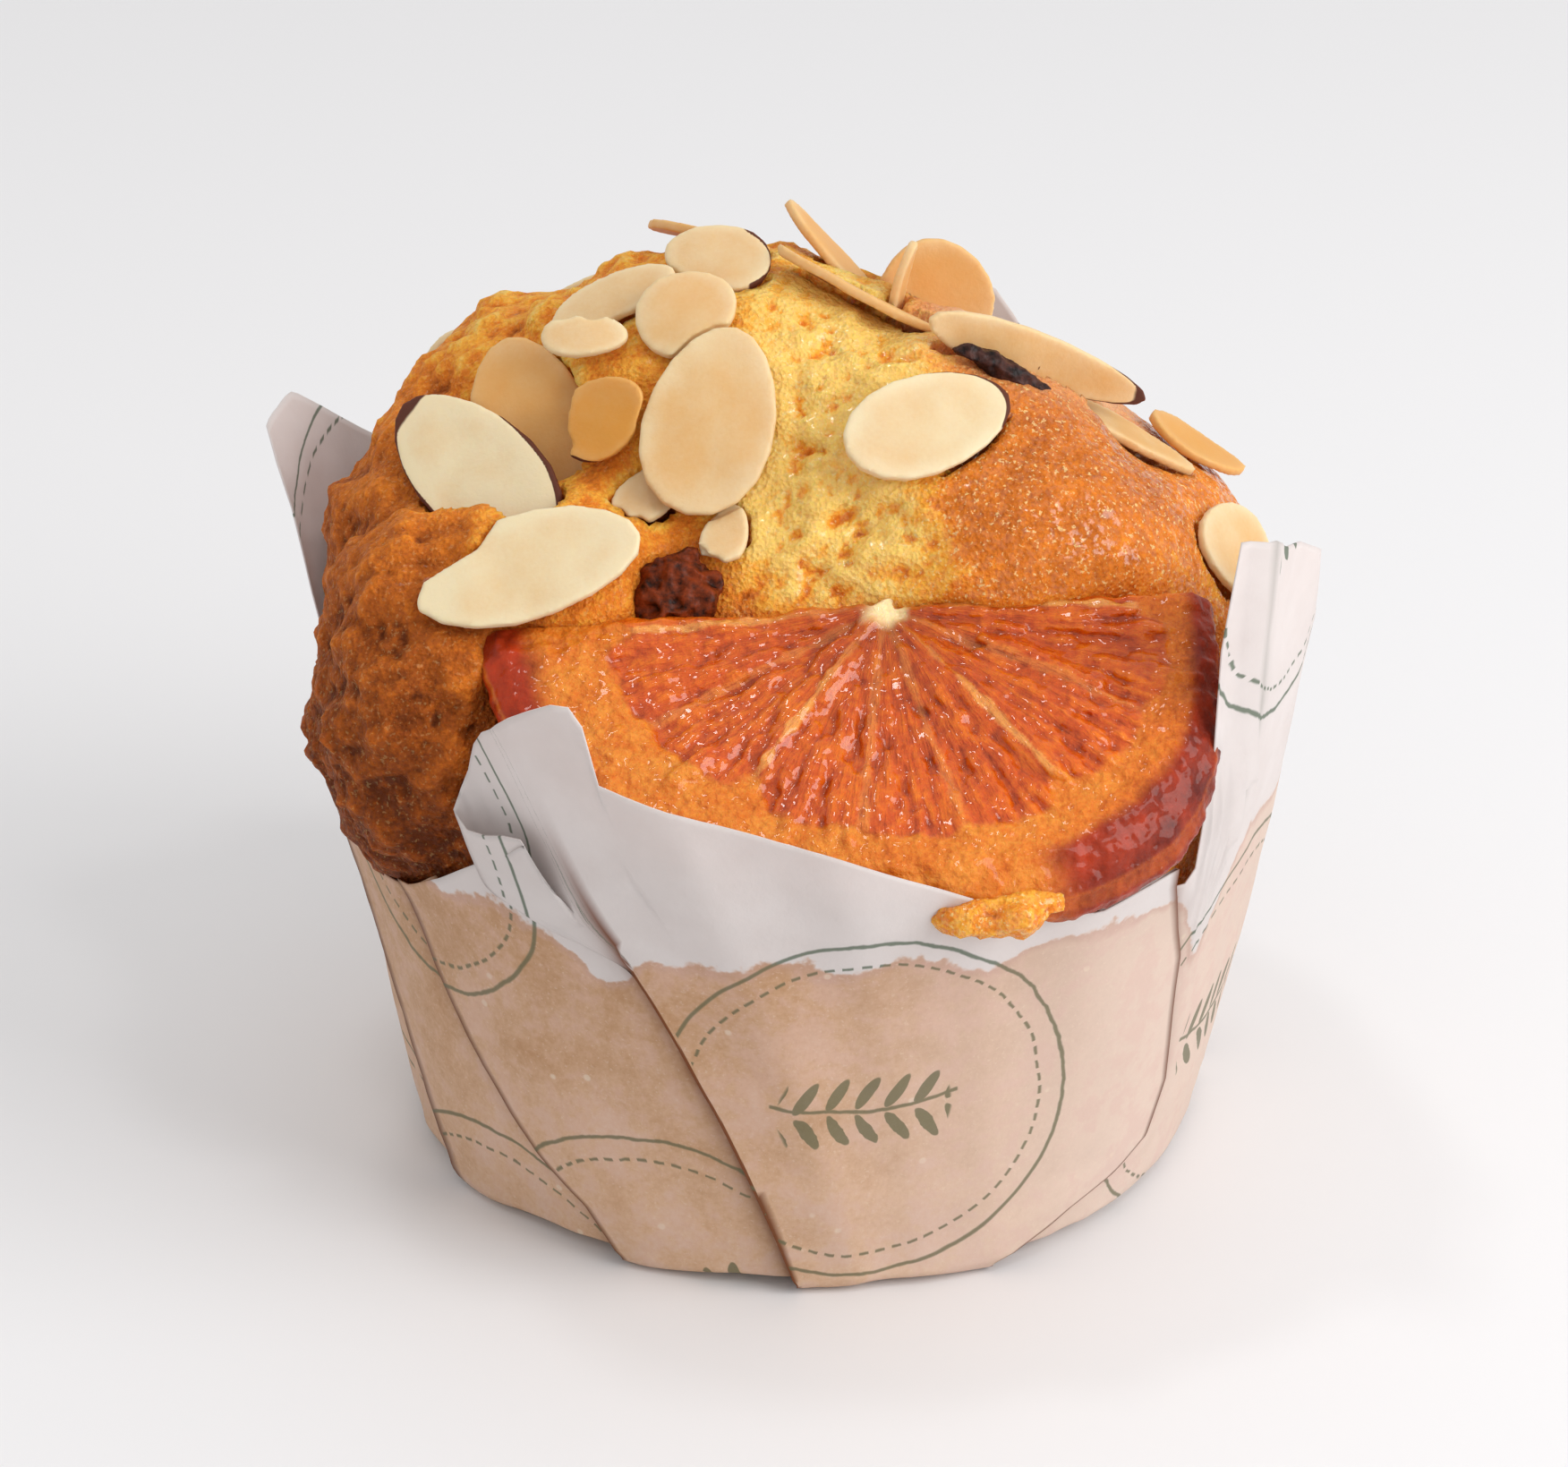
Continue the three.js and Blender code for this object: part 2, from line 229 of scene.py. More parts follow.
class Paint:
    # a finish being mixed; sizes and bumps are in millimetres
    def __init__(self, name):
        self.material = bpy.data.materials.new(name)
        self.material.use_nodes = True
        self.tree = self.material.node_tree
        self.tree.nodes.clear()
        self.place = self.add("TexCoord", out="Object")

    def add(self, kind, sockets=None, settings=None, out=0):
        return Wire(self, addNode(self.tree, "ShaderNode" + kind, sockets, settings).outputs[out])

    def maths(self, operation, *values):
        return self.add("Math", dict(enumerate(values)), {"operation": operation})

    def stored(self, name):
        return self.add("Attribute", {}, {"attribute_name": name}, "Fac")

    def speckle(self, size, detail, roughness, place=None):
        sockets = {"Scale": 1000 / size, "Detail": detail, "Roughness": roughness}
        return self.add("TexNoise", {"Vector": place or self.place, **sockets})

    def grains(self, size):
        return self.add("TexVoronoi", {"Vector": self.place, "Scale": 1000 / size}, out="Distance")

    def between(self, value, low, high):
        sockets = {"Value": value, "From Min": low, "From Max": high}
        return self.add("MapRange", sockets, {"interpolation_type": "SMOOTHSTEP"})

    def ramp(self, value, stops):
        # each stop is its position, then its red, green and blue
        node = addNode(self.tree, "ShaderNodeValToRGB", {0: value})
        elements = node.color_ramp.elements
        while len(elements) < len(stops):
            elements.new(0.5)
        for element, (position, *colour) in zip(elements, stops):
            element.position = position
            element.color = tint(*colour)
        return Wire(self, node.outputs[0])

    def mix(self, share, first, second):
        # of wires or plain colours
        first, second = [tint(*part) if isinstance(part, tuple) else part for part in (first, second)]
        settings = {"data_type": "RGBA", "clamp_factor": True}
        return self.add("Mix", {0: share, 6: first, 7: second}, settings, 2)

    def bump(self, height, depth, strength):
        return self.add("Bump", {"Height": height, "Distance": depth * mm, "Strength": strength})

    def surface(self, colour, roughness, specular=0.5, relief=None, coat=(0.0, 0.03), glow=None):
        # coat is its weight and roughness, glow the weight, radii and reach in metres of light inside
        sockets = {"Base Color": colour, "Roughness": roughness, "Specular IOR Level": specular}
        sockets.update(zip(("Coat Weight", "Coat Roughness"), coat))
        if relief:
            sockets["Normal"] = relief
        if glow:
            sockets.update(zip(("Subsurface Weight", "Subsurface Radius", "Subsurface Scale"), glow))
        return self.add("BsdfPrincipled", sockets)

    def finish(self, shader):
        addNode(self.tree, "ShaderNodeOutputMaterial", {"Surface": shader})
        return self.material


def scatterTree(name, density, densest, shape, heading=None):
    # ellipsoids scattered over a mesh by a stored density and joined to it, at most so many a square
    # metre; heading is the stored direction they point in, or else they turn with the surface
    tree = bpy.data.node_groups.new(name, "GeometryNodeTree")
    inputs = {"Geometry": "Geometry", "Spacing": "Float", "Smallest": "Float", "Largest": "Float"}
    inputs.update({"Length": "Float", "Seed": "Int", "Finish": "Material"})
    for label, kind in inputs.items():
        tree.interface.new_socket(label, in_out="INPUT", socket_type="NodeSocket" + kind)
    tree.interface.new_socket("Geometry", in_out="OUTPUT", socket_type="NodeSocketGeometry")
    given = tree.nodes.new("NodeGroupInput").outputs
    result = tree.nodes.new("NodeGroupOutput").inputs

    def add(kind, sockets, settings=None, out=0):
        return addNode(tree, kind, sockets, settings).outputs[out]

    def stored(label, kind):
        return add("GeometryNodeInputNamedAttribute", {"Name": label}, {"data_type": kind}, "Attribute")

    def scaled(vector, share):
        return add("ShaderNodeVectorMath", {0: vector, "Scale": share}, {"operation": "SCALE"})

    spread = {
        "Mesh": given["Geometry"],
        "Distance Min": given["Spacing"],
        "Density Max": densest,
        "Density Factor": stored(density, "FLOAT"),
        "Seed": given["Seed"],
    }
    points = addNode(tree, "GeometryNodeDistributePointsOnFaces", spread, {"distribute_method": "POISSON"})
    rotation = points.outputs["Rotation"]
    if heading:
        ahead = {"Vector": stored(heading, "FLOAT_VECTOR")}
        rotation = add("FunctionNodeAlignRotationToVector", ahead, {"axis": "X"})
    sizes = {2: given["Smallest"], 3: given["Largest"], "Seed": given["Seed"]}
    size = add("FunctionNodeRandomValue", sizes, {"data_type": "FLOAT"}, 1)
    each = {
        "Points": points.outputs["Points"],
        "Instance": add("GeometryNodeMeshIcoSphere", {"Radius": 1.0, "Subdivisions": 2}),
        "Rotation": rotation,
        "Scale": scaled(scaled(shape, given["Length"]), size),
    }
    placed = add("GeometryNodeInstanceOnPoints", each)
    joined = addNode(tree, "GeometryNodeJoinGeometry")
    for part in (given["Geometry"], placed):
        tree.links.new(part, joined.inputs[0])
    real = add("GeometryNodeRealizeInstances", {"Geometry": joined.outputs[0]})
    dressed = add("GeometryNodeSetMaterial", {"Geometry": real, "Material": given["Finish"]})
    tree.links.new(dressed, result["Geometry"])
    return tree


def grown(mesh, tree, **values):
    # runs a geometry tree on a mesh, with its inputs set by name
    inputs = {item.name: item.identifier for item in tree.interface.items_tree if item.in_out == "INPUT"}
    given = {inputs[name]: value for name, value in values.items()}
    return modified(mesh, "NODES", {"node_group": tree}, given)


# Paper case: where its wall and rim run, read off the frame

paper = {
    "thickness": 0.14,
    "layerGap": 0.44,  # between the three layers of a pleat
    "tuck": 8.0,  # how far a pleat runs under its neighbour
    "cadWall": 0.6,
    "cornerRadius": 1.6,  # where the wall turns into the base
    "wrinkle": 0.32,
    "panelRadius": 41,
    "columnWidth": 0.95,  # at that radius
    "wallRows": 88,
    "leftBulge": 2.2,
    "stainHeight": 35.8,  # butter has soaked the paper up to here
    "stainDips": [(-115, 5.0, 4.0), (-70, 2.0, 5.0), (-34, 9.0, 5.0), (-152, -3.5, 7.0)],  # but less here
    "ringRadius": 18.0,  # of the printed motif
    "ringGrid": (58.0, 50.0),
    # where a motif's middle falls on each panel: (angle, height, turn of the sheet)
    "ringPlaces": [(-140, -8.5, 0), (-148.5, 41.5, 30), (-84, 20, 0)]
    + [(-20, 65, 0), (25, 20, 0), (52, 44, 10)],
    "ringsOnwards": 108,  # and past the end of that list the first ones again, this far round
}


def paperTables():
    # the wall's radius and the rim's height for each degree round, from the case's CAD solid
    case = rayTree("paper_case")
    heights = np.arange(1.5, 72, 1.0)
    radii = np.full((360, len(heights)), np.nan)
    rims = np.zeros(360)
    for degree in range(360):
        outward = Vector((math.cos(math.radians(degree)), math.sin(math.radians(degree)), 0))
        for level, height in enumerate(heights):
            hit = case.ray_cast(Vector((0, 0, height * mm)), outward)[3]
            if hit:
                radii[degree, level] = hit / mm + paper["cadWall"]
                rims[degree] = height
        for step in (0.5, 0.25, 0.125, 0.0625):
            if case.ray_cast(Vector((0, 0, (rims[degree] + step) * mm)), outward)[3]:
                rims[degree] += step
        found = np.flatnonzero(~np.isnan(radii[degree]))
        top = found[-1]
        slope = (radii[degree, top] - radii[degree, max(top - 12, 0)]) / 12
        above = np.arange(top + 1, len(heights))
        radii[degree, above] = radii[degree, top] + slope * (above - top)
    around = np.array([[1, 4, 6, 4, 1]]).T / 16
    wrapped = np.vstack([radii[-2:], radii, radii[:2]])
    radii = sum(around[i] * wrapped[i : i + 360] for i in range(5))
    return heights, radii, rims


caseHeights, caseRadii, caseRims = paperTables()


def wallRadius(angle, height):
    # bilinear, in millimetres, for arrays of degrees and heights
    turn = np.mod(angle, 360)
    low = np.floor(turn).astype(int) % 360
    level = np.clip(height - caseHeights[0], 0, len(caseHeights) - 1.001)
    row = level.astype(int)
    across, up = turn - np.floor(turn), level - row
    near = caseRadii[low, row] * (1 - up) + caseRadii[low, row + 1] * up
    far = caseRadii[(low + 1) % 360, row] * (1 - up) + caseRadii[(low + 1) % 360, row + 1] * up
    return near * (1 - across) + far * across


def rimHeight(angle):
    turn = np.mod(angle, 360)
    return np.interp(turn, np.arange(361), np.append(caseRims, caseRims[0]))


report("frame read, paper case measured")


# Baked muffin: the batter's crust, crumb and the torn crack across its top

crust = {
    "coarse": 1.4,  # the voxel that the lumps are scattered on
    "voxel": 0.58,
    "lumps": (5.2, 2.6, 5.4),  # their spacing, smallest and largest radius
    "lumpHeight": 0.4,  # craggy lumps on the left and round the back
    "crumbHeight": 0.8,  # torn crumb in the crack
    "softHeight": 0.35,  # the smooth glazed lobe
    "crackAt": (1.5, -9.0, 68.0),
    "crackReach": (8.5, 18.0, 16.0),
    "dripAt": (14.5, 40.6),  # its x and z, on the front
    "cover": 3.2,  # batter up to this thick over a flake drops
    "clear": 1.55,  # to this far below it
}


def crustZones(places):
    # how craggy, how torn and how glazed each place is, from 0 to 1
    x, y, z = (places / mm).T
    edge = 3.0 * cloud(places, 11, 4, 2)
    crackPlace, crackReach = crust["crackAt"], crust["crackReach"]
    apart = sum(((c - at) / reach) ** 2 for c, at, reach in zip((x, y, z), crackPlace, crackReach))
    torn = 1 - blend(0.6, 1.5, np.sqrt(apart) + 0.06 * edge)
    right = blend(4, 14, x + edge) * blend(24, 12, y)
    craggy = np.clip(1 - right - 0.8 * torn, 0, 1)
    return craggy, torn, right


def crustFinish():
    paint = Paint("baked crust")
    bake, hollowShade, shine = map(paint.stored, ("bake", "hollowShade", "shine"))
    blotch = paint.speckle(4.5, 4, 0.62)
    fine = paint.speckle(0.5, 4, 0.65)
    grain = paint.grains(0.42)
    mottle = paint.speckle(1.5, 3, 0.6)
    # painted shade: the tone rises, so the colour darkens, in the sunk hollows and in the pits of the fine
    # bump
    tone = bake + (blotch - 0.5) * 0.5 + (mottle - 0.5) * 0.4 + (0.5 - fine) * 0.5 + hollowShade * 0.45
    stops = [(0.02, 255, 206, 108), (0.16, 255, 178, 64), (0.34, 236, 134, 38)]
    stops += [(0.62, 186, 96, 26), (0.8, 150, 72, 14), (1.0, 104, 44, 5)]
    colour = paint.mix(paint.stored("dusty") * 0.9, paint.ramp(tone, stops), (238, 184, 140))
    # painted highlights: pale specks on the glazed parts stand in for the glints of the sugar grains
    sugarGlints = paint.between(paint.speckle(0.42, 2, 0.6), 0.58, 0.68) * (shine + 0.15)
    colour = paint.mix(sugarGlints * 0.6, colour, (255, 224, 156))
    sparkle = paint.between(paint.speckle(0.6, 2, 0.5), 0.46, 0.56)
    roughness = 0.68 - shine * 0.2 + (fine - 0.5) * 0.2
    relief = paint.bump((fine * 1.2 + grain * 0.8) * (1.0 - shine * 0.4), 0.42, 1.0)
    glow = (0.3, (1.0, 0.4, 0.1), 0.0025)
    return paint.finish(paint.surface(colour, roughness, 0.16, relief, (shine * sparkle, 0.1), glow))


def makeMuffin():
    material = crustFinish()
    near = rayTree(*[name for name in nodes if name not in ("baked_muffin", "paper_case")])
    flakes = rayTree(*[name for name in nodes if "almond" in name])

    def reach(places):
        # millimetres to the nearest topping
        return np.array([near.find_nearest(Vector(p))[3] for p in places.tolist()]) / mm

    def uncovered(places, normals):
        # batter that would hide a flake drops below it
        places = places.copy()
        for i, (place, normal) in enumerate(zip(places.tolist(), normals.tolist())):
            inward = -(0.6 * Vector(normal) + 0.4 * Vector(place).normalized())
            apart = flakes.ray_cast(Vector(place), inward, crust["cover"] * mm)[3]
            if apart is not None:
                places[i] += np.array(inward) * (apart + crust["clear"] * mm)
        return places

    def enclosed(places):
        # 1 where the paper holds the batter in
        x, y, z = (places / mm).T
        angle = np.degrees(np.arctan2(y, x))
        inside = np.hypot(x, y) < wallRadius(angle, z) + 0.2
        return inside * (1 - blend(-1.0, 1.5, z - rimHeight(angle)))

    coarse = evenMesh(mergedCopy("baked_muffin"), crust["coarse"], 6)
    places = placesOf(coarse)
    craggy, torn, _ = crustZones(places)
    free = (1 - enclosed(places)) * blend(1.5, 3.5, reach(places))
    keep(coarse, "craggy", free * (0.75 * craggy + 0.25 * torn))
    lumpTree = scatterTree("lumps that rise in the crust", "craggy", 200000.0, (1.0, 0.72, 0.3))
    spacing, smallest, largest = crust["lumps"]
    sizes = {"Spacing": spacing * mm, "Smallest": smallest * mm, "Largest": largest * mm, "Length": 1.0}
    mesh = evenMesh(grown(coarse, lumpTree, **sizes, Seed=5, Finish=material), crust["voxel"], 10)

    places, normals = placesOf(mesh), normalsOf(mesh)
    craggy, torn, right = crustZones(places)
    held = enclosed(places)
    free = (1 - held) * (0.25 + 0.75 * blend(0.3, 2.5, reach(places)))
    lumps = crust["lumpHeight"] * (2.0 * cloud(places, 5.0, 1, 3) + 0.8 * knobs(places, 3.4, 1) - 0.5)
    lumps += 0.2 * (knobs(places, 1.7, 2) - 0.5) + 0.3 * cloud(places, 1.5, 11, 2)
    crumb = cloud(places, 3.0, 3, 4) * 1.4 + 0.6 * (knobs(places, 2.4, 5) - 0.5)
    crumb = crust["crumbHeight"] * crumb - 0.4 - 0.45 * blend(0.22, 0.5, cloud(places, 1.7, 9, 3))
    soft = crust["softHeight"] * cloud(places, 7, 6, 3) + 0.14 * cloud(places, 1.2, 7, 3)
    rise = craggy * lumps + torn * crumb + right * soft + 0.12 * cloud(places, 1.3, 8, 2)
    x, y, z = (places / mm).T
    dripX, dripZ = crust["dripAt"]
    drip = blend(11, 6, np.hypot(x - dripX, z - dripZ)) * blend(-30, -36, y)
    rise += drip * (0.9 * cloud(places, 2.6, 13, 3) - 0.2) - 0.8 * blend(-36, -46, x)
    places += normals * ((free * rise - 0.25 * held) * mm)[:, None]
    movePlaces(mesh, uncovered(places, normals))

    sunk = sunkBelow(mesh, 14)
    low = blend(66, 34, z)
    left = blend(-6, -26, x)
    flank = blend(-20, -34, x) * blend(72, 56, z)
    bake = 0.36 + 0.2 * craggy * low + 0.12 * left * low + 0.27 * flank
    bake += 0.16 * right * blend(54, 66, z) - 0.4 * torn - 0.1 * craggy * blend(64, 70, z)
    bake += 0.12 * blend(8, 24, y) * blend(72, 50, z) - 0.06 * drip
    # painted highlight: raised parts of the crust, most on the craggy side, are made paler
    keep(mesh, "bake", bake - (0.05 + 0.1 * craggy) * blend(0.03, 0.35, -sunk))
    # painted shade: the crust is darker where it lies sunk below its smoothed surface
    keep(mesh, "hollowShade", blend(0.02, 0.45, sunk) * (1 - 0.25 * torn - 0.3 * right))
    ridge = right * blend(-5, 8, y + 0.5 * (z - 66)) * blend(60, 66, z)
    keep(mesh, "shine", np.clip(0.1 + 0.8 * right + 0.75 * torn - 1.2 * ridge, 0, 0.9))
    keep(mesh, "dusty", ridge)
    newPiece("muffin_crust", mesh, ["baked_muffin"], material)
    report(f"crust, {len(mesh.polygons)} faces")


makeMuffin()


# Almond flakes: thin slices of whole almonds, some with their brown skin left along the edge

almond = {
    "voxel": 0.27,
    "warp": 0.45,
    "thin": 0.66,
    "narrow": {"14": 0.62},
    # by a flake's number: its toast, from 0, white, to 1, deep gold
    "toast": {
        "01": 0.12, "02": 0.06, "03": 0.7, "04": 0.45, "05": 0.22, "06": 0.98,
        "07": 0.42, "08": 0.3, "09": 0.36, "10": 0.75, "11": 0.7, "12": 0.7,
        "13": 0.55, "14": 0.5, "15": 0.6, "16": 0.85, "17": 0.4, "18": 0.8,
    },
    "usualToast": 0.35,
    "skin": {  # the sides where the skin is still on, as directions
        "02": [(1, 0, 0.6), (-1, 0, -0.2), (0.3, 0, -1)],
        "05": [(0.6, 0, 1)], "06": [(0.4, 0, -1)], "09": [(1, 0, 0.1)], "11": [(1, 0, 0)],
        "14": [(1, 0, -0.6)], "17": [(0, 0, -1)], "20": [(1, 0, 0.4)],
    },
    "spots": {"02": (-1, 0, 0.9), "14": (1, 0, -0.3), "11": (1, 0, 0.2)},
}


def almondFinish():
    paint = Paint("toasted almond")
    toast, skin, rim = map(paint.stored, ("toast", "skin", "rim"))
    cloudy = paint.speckle(4.0, 3, 0.5)
    dust = paint.speckle(0.35, 2, 0.6)
    tone = toast + (cloudy - 0.5) * 0.5 + (dust - 0.5) * 0.14 - paint.between(rim, 0.6, 1.0) * 0.22
    stops = [(0.0, 228, 210, 172), (0.3, 222, 190, 142), (0.6, 216, 166, 100), (1.0, 214, 148, 58)]
    edge = paint.between(skin + (cloudy - 0.5) * 0.7, 0.42, 0.6)
    colour = paint.mix(edge, paint.ramp(tone, stops), (84, 36, 14))
    roughness = 0.5 + edge * 0.2 - paint.between(cloudy, 0.5, 0.8) * 0.12
    relief = paint.bump(paint.speckle(0.5, 3, 0.6) + dust * 0.5, 0.05, 0.6)
    glow = (0.4, (1.0, 0.7, 0.4), 0.0016)
    return paint.finish(paint.surface(colour, roughness, 0.4, relief, glow=glow))


def makeFlakes():
    material = almondFinish()
    flakes = sorted(name for name in nodes if name.startswith("almond"))
    for number, name in enumerate(flakes):
        key = name.removeprefix("almond_flake_")
        mesh = evenMesh(mergedCopy(name), almond["voxel"], 3)
        places = placesOf(mesh)
        centre = places.mean(axis=0)
        away = places - centre
        axes = np.linalg.svd(away - away.mean(axis=0), full_matrices=False)[2]
        along, across = away @ axes[0], away @ axes[1]
        reach = np.hypot(along / np.abs(along).max(), across / np.abs(across).max())
        curl = almond["warp"] * (-1 if number % 3 == 0 else 1) * (np.abs(along) / np.abs(along).max()) ** 2
        waver = 0.35 * cloud(places, 6, number, 2)
        places += axes[2] * (((curl - curl.mean()) * 0.6 + waver * 0.5) * mm)[:, None]
        # thinner from its hidden side only, so that its outer face stays where it lies
        outer = axes[2] if axes[2] @ (centre - [0, 0, 40 * mm]) > 0 else -axes[2]
        depth = away @ outer
        places += np.outer((depth.max() - depth) * (1 - almond["thin"]), outer)
        places -= np.outer(across * (1 - almond["narrow"].get(key, 1)), axes[1])
        movePlaces(mesh, places)
        skin = np.zeros(len(places))
        for side in almond["skin"].get(key, []):
            heading = away @ np.array(side) / np.linalg.norm(side)
            skin = np.maximum(skin, blend(0.35, 0.7, heading / np.abs(heading).max()))
        skin *= blend(0.88, 0.97, reach)
        if key in almond["spots"]:
            heading = away @ np.array(almond["spots"][key])
            skin = np.maximum(skin, 0.75 * blend(0.8, 0.95, heading / heading.max()))
        keep(mesh, "skin", skin)
        keep(mesh, "rim", reach)
        keep(mesh, "toast", np.full(len(places), almond["toast"].get(key, almond["usualToast"])))
        newPiece(name + "_slice", mesh, [name], material)
    report(f"{len(flakes)} almond flakes")


makeFlakes()


# Nut piece and dried fruit: two dark scraps baked into the crust

scraps = {
    # each one's voxel, cragginess, roughness, hollows' colour and colour
    "nut_piece": (0.24, 0.75, 0.5, (40, 12, 2), (128, 50, 14)),
    "dried_fruit_strip": (0.16, 0.35, 0.4, (24, 12, 10), (78, 44, 36)),
}


def makeScraps():
    for name, (voxel, crags, rough, deep, pale) in scraps.items():
        paint = Paint(name.replace("_", " "))
        ridges = paint.speckle(1.1, 4, 0.65)
        colour = paint.ramp(ridges, [(0.35, *deep), (0.62, *pale)])
        roughness = rough + (ridges - 0.5) * 0.3
        relief = paint.bump(ridges, 0.3, 0.8)
        glow = (0.1, (1.0, 0.2, 0.1), 0.001)
        material = paint.finish(paint.surface(colour, roughness, 0.12, relief, (0.08, 0.2), glow))
        mesh = evenMesh(mergedCopy(name), voxel, 2)
        places, normals = placesOf(mesh), normalsOf(mesh)
        crag = cloud(places, 2.4, 2, 3) - 0.8 * np.abs(cloud(places, 1.6, 5, 2))
        movePlaces(mesh, places + normals * (crags * crag * mm)[:, None])
        newPiece(name + "_scrap", mesh, [name], material)
    report("nut and fruit scraps")


makeScraps()


# Orange slice: half a candied wheel, its flesh in segments of swollen vesicles

orange = {
    "coreShift": 3.0,  # the core lies this far right of the middle of the cut
    "fleshReach": 23.2,
    "peel": 1.3,
    "spread": 2.6,  # how far its peel slopes outwards at the lower right
    "thickness": 4.0,
    "membranes": (-3, -55, -128, -177),  # degrees round the core
    "faintMembranes": (-29, -79, -101, -154),
    "membraneWidth": 0.3,
    "voxel": 0.227,
    "leastReach": 24.6,
    "turns": 240,
    "rings": 70,
    "vesicleSpacing": 1.25,
    "vesicleLength": 2.7,  # and from half to 1.4 times as long
}


def sliceLie():
    # where the slice lies: the middle of its cut, the way along it, uphill, and out of its face
    mesh = mergedCopy("orange_slice")
    face = max(mesh.polygons, key=lambda p: p.normal.z * p.area if p.normal.z > 0.5 else 0)
    normal = np.array(face.normal)
    places = placesOf(mesh)
    top = places[(places - np.array(face.center)) @ normal > -0.2 * mm]
    level = np.cross((0.0, 0.0, 1.0), normal)
    left = top[np.argmin(top @ level)]
    far = top[top @ level > (top @ level).max() - 1.0 * mm]
    right = far[np.argmax(far[:, 2])]
    along = (right - left) / np.linalg.norm(right - left)
    return (left + right) / 2, along, np.cross(normal, along), normal, top


def orangeFinish():
    paint = Paint("candied orange")
    flesh, line, peel = map(paint.stored, ("flesh", "membrane", "peel"))
    core, burnt, hollowShade = map(paint.stored, ("core", "burnt", "hollowShade"))
    cloudy = paint.speckle(3.4, 4, 0.6)
    fine = paint.speckle(0.45, 3, 0.6)
    # fibres that run out from the core, a little wavy
    fibrePlace = {"X": paint.stored("turn") * 0.0006 + cloudy * 0.0012, "Y": paint.stored("reach") * 0.0003}
    fibres = paint.speckle(1.0, 3, 0.6, paint.add("CombineXYZ", fibrePlace))
    # painted shade: the tone is lower, so the red darker, in the sunk hollows
    tone = 0.3 + cloudy * 0.5 + (fibres - 0.5) * 0.4 - hollowShade * 0.24 + (fine - 0.5) * 0.1
    stops = [(0.2, 158, 50, 0), (0.42, 208, 82, 0), (0.62, 232, 116, 2), (0.85, 250, 164, 36)]
    pulp = paint.ramp(tone, stops)
    pithTone = cloudy * 0.6 + fine * 0.5 - burnt * 0.4
    pith = paint.ramp(pithTone, [(0.15, 166, 60, 8), (0.45, 220, 116, 30), (0.8, 240, 160, 60)])
    rind = paint.ramp(cloudy - burnt * 0.35, [(0.1, 74, 14, 10), (0.65, 182, 56, 16)])
    colour = paint.mix(flesh, pith, pulp)
    colour = paint.mix(line * 0.75, colour, (242, 168, 84))
    colour = paint.mix(peel, colour, rind)
    colour = paint.mix(core, colour, (252, 222, 168))
    ripples = paint.speckle(1.1, 4, 0.62) * (1.3 - flesh * 0.4 - peel * 0.8) + fibres * flesh * 1.5
    relief = paint.bump(ripples + paint.grains(0.8) * (0.5 - peel * 0.3), 0.55, 0.85)
    coat = (0.4 + flesh * 0.45 - peel * 0.1, 0.03)
    glow = (0.35, (1.0, 0.4, 0.08), 0.002)
    return paint.finish(paint.surface(colour, 0.34 + fine * 0.2, 0.12, relief, coat, glow))


